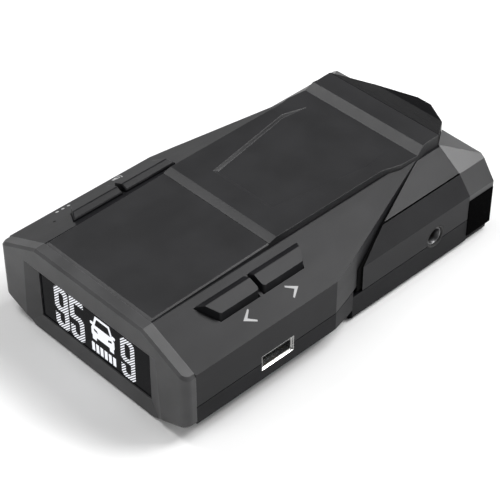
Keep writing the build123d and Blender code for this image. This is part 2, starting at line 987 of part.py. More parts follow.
# Ribbon from the display down to the board
ribbon_front = holder_front + holder_thickness + ribbon_thickness / 2
with BuildPart() as display_ribbon:
    with BuildSketch(Plane.YZ):
        with BuildLine():
            Polyline(
                (back(ribbon_front), ribbon_height),
                (back(board_front) - ribbon_rise, ribbon_height),
                (back(board_front) + ribbon_rise / 2, board_top + ribbon_thickness / 2),
                (back(board_front) + 2 * ribbon_rise, board_top + ribbon_thickness / 2),
            )
            offset(amount=ribbon_thickness / 2, side=Side.BOTH)
        make_face()
    extrude(amount=ribbon_half, both=True)
display_ribbon.part.label = "display_ribbon"
export_step(display_ribbon.part, "parts/display_ribbon.step")

# Sockets
with BuildPart() as usb_socket:
    with BuildSketch(Plane.YZ.offset(half_width - usb_inset)):
        with Locations((back(usb_place), usb_centre)):
            Rectangle(usb_width, usb_height)
    extrude(amount=-usb_length)
    with BuildSketch(Plane.YZ.offset(half_width - usb_inset)):
        with Locations((back(usb_place), usb_centre)):
            Rectangle(usb_width - 2 * usb_wall, usb_height - 2 * usb_wall)
    extrude(amount=usb_wall - usb_length, mode=Mode.SUBTRACT)
usb_socket.part.label = "usb_socket"
export_step(usb_socket.part, "parts/usb_socket.step")

with BuildPart() as usb_tongue:
    with BuildSketch(Plane.YZ.offset(half_width - usb_inset - tongue_recess)):
        with Locations((back(usb_place), usb_centre)):
            Rectangle(tongue_width, tongue_thickness)
    extrude(amount=tongue_recess + usb_wall - usb_length)
usb_tongue.part.label = "usb_tongue"
export_step(usb_tongue.part, "parts/usb_tongue.step")

jack_inner_face = tail_half - wall - jack_clearance
with BuildPart() as power_jack:
    with BuildSketch(Plane.YZ.offset(jack_inner_face)):
        with Locations((back(jack_place), jack_centre)):
            Rectangle(2 * jack_body_half, 2 * jack_body_half)
    extrude(amount=jack_body_inner - jack_inner_face)
    with BuildSketch(Plane.YZ.offset(jack_inner_face)):
        with Locations((back(jack_place), jack_centre)):
            Circle(jack_barrel)
    extrude(amount=tail_half - jack_inner_face)
    with BuildSketch(Plane.YZ.offset(tail_half)):
        with Locations((back(jack_place), jack_centre)):
            Circle(jack_bore)
    extrude(amount=-jack_depth, mode=Mode.SUBTRACT)
    with BuildSketch(Plane.YZ.offset(tail_half - jack_depth)):
        with Locations((back(jack_place), jack_centre)):
            Circle(contact_radius)
    extrude(amount=-contact_thickness, mode=Mode.SUBTRACT)
    mouth = power_jack.edges().filter_by(GeomType.CIRCLE)
    mouth = mouth.filter_by(lambda edge: edge.radius < jack_bore + 0.01)
    chamfer(mouth.sort_by(Axis.X)[-1], length=jack_countersink)
power_jack.part.label = "power_jack"
export_step(power_jack.part, "parts/power_jack.step")

with BuildPart() as jack_contact:
    with BuildSketch(Plane.YZ.offset(tail_half - jack_depth)):
        with Locations((back(jack_place), jack_centre)):
            Circle(contact_radius)
    extrude(amount=-contact_thickness)
jack_contact.part.label = "jack_contact"
export_step(jack_contact.part, "parts/jack_contact.step")

# Horn antenna, receiver board and laser module
with BuildPart() as horn_antenna:
    with Locations((0, back((horn_front + horn_end) / 2), board_top)):
        Box(2 * horn_half, horn_end - horn_front, horn_height, align=upright)
    with BuildSketch(cross(horn_end)):
        with Locations((0, board_top + horn_height / 2)):
            Rectangle(2 * (horn_half - horn_wall), horn_height - 2 * horn_wall)
    with BuildSketch(cross(horn_mouth)):
        with Locations((0, board_top + horn_height / 2)):
            Rectangle(guide_width, guide_height)
    loft(ruled=True, mode=Mode.SUBTRACT)
    with BuildSketch(cross(horn_mouth)):
        with Locations((0, board_top + horn_height / 2)):
            Rectangle(guide_width, guide_height)
    extrude(amount=guide_depth, mode=Mode.SUBTRACT)
horn_antenna.part.label = "horn_antenna"
export_step(horn_antenna.part, "parts/horn_antenna.step")

with BuildPart() as receiver_board:
    with Locations((0, back(horn_front + wall + receiver_length / 2), horn_top)):
        Box(2 * receiver_half, receiver_length, receiver_thickness, align=upright)
receiver_board.part.label = "receiver_board"
export_step(receiver_board.part, "parts/receiver_board.step")

laser_end = horn_end - wall
with BuildPart() as laser_module:
    with Locations((0, back(laser_end - laser_length / 2), horn_top)):
        Box(2 * laser_half, laser_length, laser_height, align=upright)
laser_module.part.label = "laser_module"
export_step(laser_module.part, "parts/laser_module.step")

with BuildPart() as laser_lens:
    with BuildSketch(cross(laser_end)):
        with Locations((0, horn_top + laser_height / 2)):
            Circle(laser_lens_radius)
    extrude(amount=-laser_lens_depth)
    fillet(laser_lens.faces().sort_by(Axis.Y)[-1].edges(), radius=laser_lens_depth / 2)
laser_lens.part.label = "laser_lens"
export_step(laser_lens.part, "parts/laser_lens.step")

# Loudspeaker on the floor, over its slots
with BuildPart() as speaker:
    with Locations((0, back(speaker_place), wall)):
        Cylinder(speaker_radius, speaker_height, align=upright)
        Cylinder(
            speaker_radius - speaker_rim,
            speaker_hollow,
            align=upright,
            mode=Mode.SUBTRACT,
        )
speaker.part.label = "speaker"
export_step(speaker.part, "parts/speaker.step")

# Screws
with BuildPart() as case_screws:
    for side in (-1, 1):
        for place in screw_places:
            with Locations((side * screw_half, back(place), screw_recess)):
                Cylinder(screw_head_radius, screw_head_height, align=upright)
                Cylinder(screw_radius, seam + screw_grip - screw_recess, align=upright)
                Box(
                    screw_head_radius,
                    screw_slot,
                    screw_slot,
                    align=upright,
                    mode=Mode.SUBTRACT,
                )
                Box(
                    screw_slot,
                    screw_head_radius,
                    screw_slot,
                    align=upright,
                    mode=Mode.SUBTRACT,
                )
case_screws.part.label = "case_screws"
export_step(case_screws.part, "parts/case_screws.step")

with BuildPart() as board_screws:
    for side in (-1, 1):
        for place in standoff_places:
            with Locations((side * standoff_half, back(place), board_top)):
                Cylinder(board_screw_head, board_screw_head_height, align=upright)
            with Locations((side * standoff_half, back(place), wall + panel_gap)):
                Cylinder(board_screw_radius, board_top - wall, align=upright)
board_screws.part.label = "board_screws"
export_step(board_screws.part, "parts/board_screws.step")
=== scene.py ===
"""Windscreen radar detector: finishes, printed marks, lit display and studio for the frame."""

import logging
import math
from dataclasses import dataclass
from enum import Enum

import bmesh
import bpy
from mathutils import Matrix, Vector
from mathutils.geometry import tessellate_polygon


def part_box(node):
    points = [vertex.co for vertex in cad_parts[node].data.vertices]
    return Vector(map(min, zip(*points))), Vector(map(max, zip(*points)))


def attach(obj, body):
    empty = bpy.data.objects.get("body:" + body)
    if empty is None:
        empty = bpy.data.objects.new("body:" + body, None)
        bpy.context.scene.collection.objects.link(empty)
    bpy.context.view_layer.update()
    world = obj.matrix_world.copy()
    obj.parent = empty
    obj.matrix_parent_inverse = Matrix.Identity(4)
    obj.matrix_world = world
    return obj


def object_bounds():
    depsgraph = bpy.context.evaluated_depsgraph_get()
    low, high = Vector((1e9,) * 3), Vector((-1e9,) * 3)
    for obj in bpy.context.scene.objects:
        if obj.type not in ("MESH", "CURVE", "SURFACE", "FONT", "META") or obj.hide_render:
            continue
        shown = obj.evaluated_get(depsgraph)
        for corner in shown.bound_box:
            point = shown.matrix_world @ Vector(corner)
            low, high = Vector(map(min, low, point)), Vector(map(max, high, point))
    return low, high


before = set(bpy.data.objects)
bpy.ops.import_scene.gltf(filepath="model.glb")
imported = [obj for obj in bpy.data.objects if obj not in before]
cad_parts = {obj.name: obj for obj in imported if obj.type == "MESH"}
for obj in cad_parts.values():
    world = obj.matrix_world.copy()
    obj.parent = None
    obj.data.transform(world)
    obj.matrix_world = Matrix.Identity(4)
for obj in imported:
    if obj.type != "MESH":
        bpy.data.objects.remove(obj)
cad_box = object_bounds()

MM = 0.001
CASE = "case"
ACROSS = Vector((1, 0, 0))
REARWARD = Vector((0, 1, 0))
UPWARD = Vector((0, 0, 1))
log = logging.getLogger("detector")

Point = tuple[float, float]
Colour = tuple[float, float, float]


class Grain(Enum):
    """How deep a moulded surface is textured."""

    SATIN = 0.006
    FINE = 0.014
    COARSE = 0.03


class Facing(Enum):
    """Which shoulder of the case a printed mark is on."""

    RIGHT = 1
    LEFT = -1


# ---------------------------------------------------------------- shader tools


class Term:
    """A number in a shader that adds Math nodes when it is used in an expression."""

    def __init__(self, tree: bpy.types.NodeTree, socket: bpy.types.NodeSocket) -> None:
        """Wrap an output socket.

        Args:
            tree: The node tree that the socket is in.
            socket: The output that holds the value.
        """
        self.tree = tree
        self.socket = socket

    def _math(self, operation: str, first: "Term | float", second: "Term | float") -> "Term":
        """Add one Math node.

        Args:
            operation: The Math node's operation.
            first: Left value.
            second: Right value.

        Returns:
            The result as a new term.
        """
        node = self.tree.nodes.new("ShaderNodeMath")
        node.operation = operation
        for slot, value in zip(node.inputs, (first, second)):
            if isinstance(value, Term):
                self.tree.links.new(value.socket, slot)
            else:
                slot.default_value = value
        return Term(self.tree, node.outputs[0])

    def __add__(self, other: "Term | float") -> "Term":
        """Sum."""
        return self._math("ADD", self, other)

    __radd__ = __add__

    def __sub__(self, other: "Term | float") -> "Term":
        """Difference."""
        return self._math("SUBTRACT", self, other)

    def __rsub__(self, other: float) -> "Term":
        """Difference with a number on the left."""
        return self._math("SUBTRACT", other, self)

    def __mul__(self, other: "Term | float") -> "Term":
        """Product."""
        return self._math("MULTIPLY", self, other)

    __rmul__ = __mul__

    def ramp(self, low: float, high: float) -> "Term":
        """Smooth step from 0 at low to 1 at high.

        Args:
            low: Value that gives 0.
            high: Value that gives 1.

        Returns:
            The stepped value.
        """
        node = self.tree.nodes.new("ShaderNodeMapRange")
        node.interpolation_type = "SMOOTHSTEP"
        self.tree.links.new(self.socket, node.inputs["Value"])
        node.inputs["From Min"].default_value = low
        node.inputs["From Max"].default_value = high
        return Term(self.tree, node.outputs["Result"])


class Recipe:
    """Builds the nodes of one material."""

    def __init__(self, name: str) -> None:
        """Start an empty material.

        Args:
            name: The material's name.
        """
        self.material = bpy.data.materials.new(name)
        self.material.use_nodes = True
        self.tree = self.material.node_tree
        self.tree.nodes.clear()
        self.place = self.node("ShaderNodeTexCoord").outputs["Object"]

    def node(
        self, kind: str, settings: dict | None = None, values: dict | None = None
    ) -> bpy.types.Node:
        """Add any node.

        Args:
            kind: The node's type.
            settings: Attributes that are set first.
            values: Values, terms or sockets for its inputs, by name or number.

        Returns:
            The new node.
        """
        node = self.tree.nodes.new(kind)
        for name, value in (settings or {}).items():
            setattr(node, name, value)
        for name, value in (values or {}).items():
            if isinstance(value, Term):
                value = value.socket
            if isinstance(value, bpy.types.NodeSocket):
                self.tree.links.new(value, node.inputs[name])
            elif node.inputs[name].type == "RGBA":
                node.inputs[name].default_value = (*value, 1.0)
            else:
                node.inputs[name].default_value = value
        return node

    def term(self, socket: bpy.types.NodeSocket) -> Term:
        """Wrap an output of this material."""
        return Term(self.tree, socket)

    def noise(self, size: float, detail: float = 2.0, stretch: Colour = (1.0, 1.0, 1.0)) -> Term:
        """Noise with features of a real size.

        Args:
            size: Size of one feature, in metres.
            detail: Octaves of finer noise.
            stretch: How much finer it is along each axis.

        Returns:
            The noise value, about 0.2 to 0.8.
        """
        mapping = self.node("ShaderNodeMapping", None, {"Vector": self.place, "Scale": stretch})
        values = {"Vector": mapping.outputs[0], "Scale": 1.0 / size, "Detail": detail}
        return self.term(self.node("ShaderNodeTexNoise", None, values).outputs["Fac"])

    def axes(self) -> tuple[Term, Term, Term]:
        """Object coordinates as three terms, in metres."""
        parts = self.node("ShaderNodeSeparateXYZ", None, {"Vector": self.place})
        x, y, z = (self.term(output) for output in parts.outputs)
        return x, y, z

    def edges(self, radius: float) -> Term:
        """Mask of the edges, which are 1 at a sharp corner and 0 on a flat face.

        Args:
            radius: How far from an edge the mask reaches, in metres.

        Returns:
            The mask.
        """
        rounded = self.node("ShaderNodeBevel", {"samples": 4}, {"Radius": radius})
        flat = self.node("ShaderNodeNewGeometry")
        same = self.node(
            "ShaderNodeVectorMath",
            {"operation": "DOT_PRODUCT"},
            {0: rounded.outputs[0], 1: flat.outputs["True Normal"]},
        )
        return (1.0 - self.term(same.outputs["Value"])).ramp(0.01, 0.16)

    def mix(
        self, factor: Term, first: Colour | bpy.types.NodeSocket, second: Colour
    ) -> bpy.types.NodeSocket:
        """Blend two colours.

        Args:
            factor: 0 gives the first colour and 1 the second.
            first: A colour or the output of another mix.
            second: The other colour.

        Returns:
            The mixed colour's output.
        """
        node = self.tree.nodes.new("ShaderNodeMix")
        node.data_type = "RGBA"
        self.tree.links.new(factor.socket, node.inputs["Factor"])
        ends = [socket for socket in node.inputs if socket.type == "RGBA"]
        for socket, value in zip(ends, (first, second)):
            if isinstance(value, bpy.types.NodeSocket):
                self.tree.links.new(value, socket)
            else:
                socket.default_value = (*value, 1.0)
        return next(output for output in node.outputs if output.type == "RGBA")

    def bump(self, height: Term, depth: float) -> bpy.types.NodeSocket:
        """Turn a height into a normal.

        Args:
            height: Height from 0 to 1.
            depth: Real depth of the relief, in metres.

        Returns:
            The Normal output.
        """
        values = {"Height": height, "Distance": depth, "Strength": 1.0}
        return self.node("ShaderNodeBump", None, values).outputs["Normal"]

    def finish(self, values: dict) -> bpy.types.Material:
        """Close the material with a Principled shader.

        Args:
            values: Values, terms or sockets for the shader's inputs.

        Returns:
            The material.
        """
        shader = self.node("ShaderNodeBsdfPrincipled", None, values)
        self.node("ShaderNodeOutputMaterial", None, {"Surface": shader.outputs[0]})
        return self.material


# ---------------------------------------------------------------- finishes


@dataclass(frozen=True)
class MouldedPlastic:
    """Dark injection-moulded plastic with a spark-eroded grain and rubbed edges.

    Sizes are in millimetres.
    """

    name: str
    colour: Colour = (0.012, 0.012, 0.013)
    roughness: float = 0.42
    grain: Grain = Grain.FINE
    wear: float = 0.35
    gloss: float = 0.5
    grain_size: float = 0.28
    cloud_size: float = 14.0
    smear_size: float = 5.0
    wear_reach: float = 0.32
    wear_size: float = 2.2

    def build(self) -> bpy.types.Material:
        """Make the material."""
        recipe = Recipe(self.name)
        grain = recipe.noise(self.grain_size * MM, 3.0)
        cloud = recipe.noise(self.cloud_size * MM, 3.0)
        smear = recipe.noise(self.smear_size * MM, 4.0, (1.0, 0.35, 1.0))
        edges = recipe.edges(self.wear_reach * MM)
        worn = edges * (self.wear * recipe.noise(self.wear_size * MM, 4.0).ramp(0.3, 0.62))
        lighter = tuple(1.35 * c for c in self.colour)
        rubbed = tuple(3.2 * c + 0.02 for c in self.colour)
        speckled = recipe.mix(cloud.ramp(0.32, 0.68), self.colour, lighter)
        base = recipe.mix(worn, speckled, rubbed)
        uneven = 0.1 * (smear - 0.5) + 0.06 * (grain - 0.5)
        roughness = self.roughness + uneven - 0.12 * worn
        values = {
            "Base Color": base,
            "Roughness": roughness,
            "Specular IOR Level": self.gloss,
            "Normal": recipe.bump(grain, self.grain.value * MM),
        }
        return recipe.finish(values)


@dataclass(frozen=True)
class GlossPlastic:
    """Polished, nearly black plastic with faint dust and wipe marks; sizes in millimetres."""

    name: str
    colour: Colour = (0.003, 0.003, 0.004)
    roughness: float = 0.08
    index: float = 1.45
    dust_colour: Colour = (0.05, 0.05, 0.052)
    edge_colour: Colour = (0.04, 0.04, 0.044)
    wipe_size: float = 3.5
    wipe_depth: float = 0.002
    dust_size: float = 0.35
    edge_reach: float = 0.2

    def build(self) -> bpy.types.Material:
        """Make the material."""
        recipe = Recipe(self.name)
        wipe = recipe.noise(self.wipe_size * MM, 5.0, (0.4, 1.0, 1.8)).ramp(0.45, 0.8)
        dust = recipe.noise(self.dust_size * MM, 1.0).ramp(0.68, 0.76)
        base = recipe.mix(0.1 * dust, self.colour, self.dust_colour)
        base = recipe.mix(recipe.edges(self.edge_reach * MM) * 0.15, base, self.edge_colour)
        values = {
            "Base Color": base,
            "Roughness": self.roughness + 0.08 * wipe + 0.2 * dust,
            "IOR": self.index,
            "Normal": recipe.bump(wipe, self.wipe_depth * MM),
        }
        return recipe.finish(values)


@dataclass(frozen=True)
class Metal:
    """Plated or brushed metal with drawn lines and small pits; sizes in millimetres."""

    name: str
    colour: Colour = (0.72, 0.72, 0.7)
    roughness: float = 0.24
    lines: Colour = (1.0, 8.0, 8.0)
    line_size: float = 0.9
    line_depth: float = 0.006
    pit_size: float = 0.5
    tarnish_size: float = 2.4

    def build(self) -> bpy.types.Material:
        """Make the material."""
        recipe = Recipe(self.name)
        drawn = recipe.noise(self.line_size * MM, 4.0, self.lines)
        pits = recipe.noise(self.pit_size * MM, 2.0).ramp(0.6, 0.75)
        tarnish = recipe.noise(self.tarnish_size * MM, 4.0).ramp(0.5, 0.8)
        dull = tuple(0.55 * c for c in self.colour)
        base = recipe.mix(0.5 * tarnish, self.colour, dull)
        values = {
            "Base Color": base,
            "Metallic": 1.0,
            "Roughness": self.roughness + 0.16 * drawn + 0.12 * pits,
            "Normal": recipe.bump(drawn, self.line_depth * MM),
        }
        return recipe.finish(values)


@dataclass(frozen=True)
class PrintedInk:
    """Pad-printed ink, slightly raised and thin in places; sizes in millimetres."""

    name: str
    colour: Colour = (0.4, 0.4, 0.405)
    thin_size: float = 0.3
    relief: float = 0.004

    def build(self) -> bpy.types.Material:
        """Make the material."""
        recipe = Recipe(self.name)
        thin = recipe.noise(self.thin_size * MM, 3.0).ramp(0.5, 0.8)
        faded = tuple(0.72 * c for c in self.colour)
        values = {
            "Base Color": recipe.mix(0.5 * thin, self.colour, faded),
            "Roughness": 0.55 + 0.15 * thin,
            "Normal": recipe.bump(thin, self.relief * MM),
        }
        return recipe.finish(values)


@dataclass(frozen=True)
class LitPixels:
    """White display segments, drawn either solid or as fine diagonal rows of pixels."""

    name: str
    pitch: float = 0.0
    brightness: float = 1.0
    lit: Colour = (0.93, 0.95, 1.0)
    unlit: Colour = (0.012, 0.012, 0.014)
    row_start: float = -0.45
    row_full: float = 0.25
    uneven_size: float = 0.25

    def build(self) -> bpy.types.Material:
        """Make the material."""
        recipe = Recipe(self.name)
        if self.pitch:
            x, _, z = recipe.axes()
            turn = (x - z) * (math.tau / self.pitch)
            wave = recipe.node("ShaderNodeMath", {"operation": "SINE"}, {0: turn})
            on = recipe.term(wave.outputs[0]).ramp(self.row_start, self.row_full)
        else:
            on = 1.0 - 0.15 * recipe.noise(self.uneven_size * MM, 1.0).ramp(0.5, 0.9)
        values = {
            "Base Color": self.unlit,
            "Emission Color": recipe.mix(on, self.unlit, self.lit),
            "Emission Strength": self.brightness,
            "Roughness": 0.5,
        }
        return recipe.finish(values)


@dataclass(frozen=True)
class CircuitBoard:
    """Green solder mask over copper tracks; sizes in millimetres."""

    name: str
    mask: Colour = (0.008, 0.075, 0.03)
    cloud_size: float = 2.0
    track_pitch: float = 1.3
    track_height: float = 0.035
    wander_size: float = 9.0
    wander_reach: float = 20.0

    def build(self) -> bpy.types.Material:
        """Make the material."""
        recipe = Recipe(self.name)
        track = self._tracks(recipe)
        copper = tuple(1.9 * c for c in self.mask)
        values = {
            "Base Color": recipe.mix(track, self.mask, copper),
            "Roughness": 0.3 + 0.1 * recipe.noise(self.cloud_size * MM, 3.0),
            "Normal": recipe.bump(track, self.track_height * MM),
        }
        return recipe.finish(values)

    def _tracks(self, recipe: Recipe) -> Term:
        """Mask of the copper tracks, 1 on a track.

        Args:
            recipe: The material that is being made.

        Returns:
            The mask.
        """
        x, y, _ = recipe.axes()
        wander = self.wander_reach * MM * recipe.noise(self.wander_size * MM, 0.0)
        turn = (x + y + wander) * (math.tau / (self.track_pitch * MM))
        wave = recipe.node("ShaderNodeMath", {"operation": "SINE"}, {0: turn})
        return recipe.term(wave.outputs[0]).ramp(0.35, 0.6)


@dataclass(frozen=True)
class Ceramic:
    """Fired ceramic, film or rubber in one colour with fine specks; sizes in millimetres."""

    name: str
    colour: Colour
    roughness: float = 0.6
    gloss: float = 0.5
    speck_size: float = 0.25
    speck_depth: float = 0.01

    def build(self) -> bpy.types.Material:
        """Make the material."""
        recipe = Recipe(self.name)
        speck = recipe.noise(self.speck_size * MM, 2.0).ramp(0.55, 0.75)
        darker = tuple(0.75 * c for c in self.colour)
        values = {
            "Base Color": recipe.mix(speck, self.colour, darker),
            "Roughness": self.roughness + 0.1 * speck,
            "Specular IOR Level": self.gloss,
            "Normal": recipe.bump(speck, self.speck_depth * MM),
        }
        return recipe.finish(values)


# ---------------------------------------------------------------- mesh tools


@dataclass(frozen=True)
class Sheet:
    """A flat place that printed marks lie on: u and v run along it, up points out of it."""

    origin: Vector
    u: Vector
    v: Vector
    up: Vector

    def at(self, point: Point, height: float) -> Vector:
        """Place of a point in millimetres along u and v and above the sheet.

        Args:
            point: Place along u and v.
            height: Height above the sheet.

        Returns:
            The place in the row frame, in metres.
        """
        return self.origin + MM * (point[0] * self.u + point[1] * self.v + height * self.up)


def slab(
    name: str,
    shapes: list[list[list[Point]]],
    sheet: Sheet,
    low: float,
    high: float,
) -> bpy.types.Object:
    """Thin flat piece from outlines, each with its own holes.

    Args:
        name: The piece's name.
        shapes: For each shape its outline and then its holes, in millimetres.
        sheet: Where they lie.
        low: Underside above the sheet, in millimetres.
        high: Top above the sheet, in millimetres.

    Returns:
        The new object.
    """
    mesh = bmesh.new()
    for loops in shapes:
        flat = [[Vector((x, y, 0.0)) for x, y in loop] for loop in loops]
        points = [point for loop in loops for point in loop]
        rows = [[mesh.verts.new(sheet.at(p, h)) for p in points] for h in (low, high)]
        for corners in tessellate_polygon(flat):
            for row in rows:
                mesh.faces.new([row[i] for i in corners])
        start = 0
        for loop in loops:
            for i in range(len(loop)):
                a = start + i
                b = start + (i + 1) % len(loop)
                mesh.faces.new((rows[0][a], rows[0][b], rows[1][b], rows[1][a]))
            start += len(loop)
    bmesh.ops.recalc_face_normals(mesh, faces=mesh.faces)
    return as_object(name, mesh)


def turned(
    name: str, profile: list[Point], centre: Vector, axis: Vector, steps: int = 48
) -> bpy.types.Object:
    """Ring or disc turned from a closed profile.

    Args:
        name: The piece's name.
        profile: Closed outline of (radius, place along the axis), in millimetres.
        centre: Point on the axis, in metres.
        axis: Direction of the axis.
        steps: Number of faces round.

    Returns:
        The new object.
    """
    mesh = bmesh.new()
    turn = axis.to_track_quat("Z", "Y").to_matrix()
    rings = []
    for step in range(steps):
        angle = math.tau * step / steps
        spoke = Vector((math.cos(angle), math.sin(angle), 0.0))
        ring = [centre + turn @ (MM * (r * spoke + Vector((0, 0, h)))) for r, h in profile]
        rings.append([mesh.verts.new(point) for point in ring])
    for ring, after in zip(rings, rings[1:] + rings[:1]):
        for i in range(len(profile)):
            j = (i + 1) % len(profile)
            mesh.faces.new((ring[i], ring[j], after[j], after[i]))
    bmesh.ops.recalc_face_normals(mesh, faces=mesh.faces)
    for face in mesh.faces:
        face.smooth = True
    return as_object(name, mesh)


def as_object(name: str, mesh: bmesh.types.BMesh) -> bpy.types.Object:
    """Put a finished mesh in the scene.

    Args:
        name: The piece's name.
        mesh: The mesh, which is freed.

    Returns:
        The new object.
    """
    data = bpy.data.meshes.new(name)
    mesh.to_mesh(data)
    mesh.free()
    piece = bpy.data.objects.new(name, data)
    bpy.context.scene.collection.objects.link(piece)
    return piece


def dress(piece: bpy.types.Object, material: bpy.types.Material) -> bpy.types.Object:
    """Give a new piece its finish and let it ride on the case.

    Args:
        piece: The new piece.
        material: Its finish.

    Returns:
        The same piece.
    """
    piece.data.materials.clear()
    piece.data.materials.append(material)
    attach(piece, CASE)
    log.info("piece %s: %d faces, %s", piece.name, len(piece.data.polygons), material.name)
    return piece


def mirrored(points: list[Point]) -> list[Point]:
    """Close a right-hand outline, listed from bottom to top, with its mirror image."""
    return points + [(-x, y) for x, y in reversed(points)]


def shifted(loop: list[Point], x: float, y: float) -> list[Point]:
    """Move an outline."""
    return [(px + x, py + y) for px, py in loop]


def rectangle(left: float, low: float, right: float, high: float) -> list[Point]:
    """Outline of a rectangle from its four sides."""
    return [(left, low), (right, low), (right, high), (left, high)]


def arc(centre: Point, radius: float, start: float, end: float, steps: int) -> list[Point]:
    """Points along an arc.

    Args:
        centre: The arc's centre.
        radius: Its radius.
        start: First angle, in degrees.
        end: Last angle, in degrees.
        steps: Number of runs.

    Returns:
        The points, ends included.
    """
    angles = [math.radians(start + (end - start) * i / steps) for i in range(steps + 1)]
    return [(centre[0] + radius * math.cos(a), centre[1] + radius * math.sin(a)) for a in angles]


# ---------------------------------------------------------------- the object


@dataclass
class Enclosure:
    """The moulded pieces of the case: softened edges, in millimetres, and their plastics."""

    edge: float = 0.16
    soft_edge: float = 0.3
    corner_degrees: float = 4.0
    weld_distance: float = 0.002
    segments: int = 2
    flatness: int = 80

    def soften(self, node: bpy.types.Object, width: float) -> None:
        """Round a CAD node's corners with modifiers.

        Args:
            node: The node's object.
            width: Width of the rounding, in millimetres.
        """
        weld = node.modifiers.new("weld", "WELD")
        weld.merge_threshold = self.weld_distance * MM
        bevel = node.modifiers.new("round", "BEVEL")
        bevel.width = width * MM
        bevel.segments = self.segments
        bevel.limit_method = "ANGLE"
        bevel.angle_limit = math.radians(self.corner_degrees)
        bevel.miter_outer = "MITER_ARC"
        normals = node.modifiers.new("flat", "WEIGHTED_NORMAL")
        normals.weight = self.flatness

    def build(self) -> None:
        """Dress every moulded node of the case."""
        bezel = MouldedPlastic("bezel_plastic", (0.045, 0.045, 0.046), 0.42, Grain.FINE, 0.5, 0.25)
        case = MouldedPlastic("case_plastic", (0.008, 0.008, 0.009), 0.36, Grain.SATIN, 0.4, 0.14)
        dark = (0.005, 0.005, 0.006)
        lower = MouldedPlastic("lower_case_plastic", dark, 0.45, Grain.FINE, 0.3, 0.1)
        grey = (0.014, 0.014, 0.015)
        deck = MouldedPlastic("deck_plastic", grey, 0.4, Grain.SATIN, 0.4, 0.4)
        cap = MouldedPlastic("bumper_plastic", grey, 0.34, Grain.SATIN, 0.4, 0.4)
        hood = GlossPlastic("hood_plastic", (0.003, 0.003, 0.0035), 0.25, 1.03)
        lens = GlossPlastic("rear_lens_plastic", (0.0004, 0.0004, 0.0005), 0.12, 1.03)
        window = GlossPlastic("display_window_glass", (0.006, 0.006, 0.007), 0.1, 1.12)
        # The left and right seals are near-black, matte and barely glossy: painted shade for the
        # recesses they sit in.
        painted_seal_shade = Ceramic("seal_rubber", (0.0025, 0.0025, 0.0025), 0.85, 0.05)
        inner = MouldedPlastic("inner_plastic", (0.02, 0.02, 0.02), 0.6, Grain.COARSE, 0.0, 0.3)
        finishes = {
            bezel: ("front_bezel",),
            case: ("top_shell", "tail_housing"),
            lower: ("bottom_shell",),
            deck: ("front_deck_plate", "rear_deck_cover"),
            cap: ("left_bumper", "right_bumper"),
            hood: ("rear_hood",),
            lens: ("rear_lens",),
            window: ("display_window",),
            painted_seal_shade: ("left_seal", "right_seal"),
            inner: ("display_holder", "speaker", "power_jack", "usb_tongue"),
        }
        wide = ("front_bezel", "rear_lens", "left_bumper", "right_bumper")
        for finish, names in finishes.items():
            material = finish.build()
            for name in names:
                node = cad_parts[name]
                paint(node, material)
                self.soften(node, self.soft_edge if name in wide else self.edge)


@dataclass
class Buttons:
    """Four press buttons with a satin top."""

    edge: float = 0.14
    names: tuple[str, ...] = ("button_next", "button_previous", "button_menu", "button_mute")

    def build(self, enclosure: Enclosure) -> None:
        """Dress the buttons and their stems.

        Args:
            enclosure: Rounds their edges.
        """
        cap = MouldedPlastic("button_plastic", (0.008, 0.008, 0.009), 0.36, Grain.SATIN, 0.4, 0.16)
        stem = MouldedPlastic("stem_plastic", (0.03, 0.03, 0.03), 0.55, Grain.SATIN, 0.0)
        cap_material, stem_material = cap.build(), stem.build()
        for name in self.names:
            paint(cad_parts[name], cap_material)
            enclosure.soften(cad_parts[name], self.edge)
            paint(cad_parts[f"{name}_stem"], stem_material)


@dataclass
class Inside:
    """Boards, antenna, modules and screws."""

    edge: float = 0.1

    def build(self, enclosure: Enclosure) -> None:
        """Dress the inner nodes.

        Args:
            enclosure: Rounds their edges.
        """
        finishes = {
            CircuitBoard("circuit_board"): ("main_board", "receiver_board"),
            Metal("switch_metal", (0.6, 0.6, 0.6), 0.3): ("tact_switches", "receiver_shield"),
            Metal("horn_metal", (0.66, 0.66, 0.64), 0.42, (4.0, 4.0, 4.0)): ("horn_antenna",),
            Metal("screw_metal", (0.2, 0.2, 0.21), 0.34, (6.0, 6.0, 1.0)): (
                "case_screws",
                "board_screws",
            ),
            Metal("patch_metal", (0.85, 0.82, 0.76), 0.3): ("gps_patch",),
            Metal("contact_metal", (0.8, 0.62, 0.25), 0.25): ("jack_contact",),
            Ceramic("antenna_ceramic", (0.36, 0.31, 0.25)): ("gps_antenna",),
            Ceramic("ribbon_film", (0.28, 0.13, 0.02), 0.35): ("display_ribbon",),
            Ceramic("display_glass", (0.01, 0.01, 0.012), 0.3): ("display_panel",),
            MouldedPlastic("module_plastic", (0.02, 0.02, 0.021), 0.4): ("laser_module",),
            GlossPlastic("laser_glass", (0.02, 0.002, 0.006), 0.05, 1.5): ("laser_lens",),
        }
        rounded = ("case_screws", "horn_antenna", "gps_antenna")
        for finish, names in finishes.items():
            material = finish.build()
            for name in names:
                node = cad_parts[name]
                paint(node, material)
                if name in rounded:
                    enclosure.soften(node, self.edge)


def paint(node: bpy.types.Object, material: bpy.types.Material) -> None:
    """Replace every material of a CAD node.

    Args:
        node: The node's object.
        material: Its new finish.
    """
    node.data.materials.clear()
    node.data.materials.append(material)
    log.info("node %s: %s", node.name, material.name)


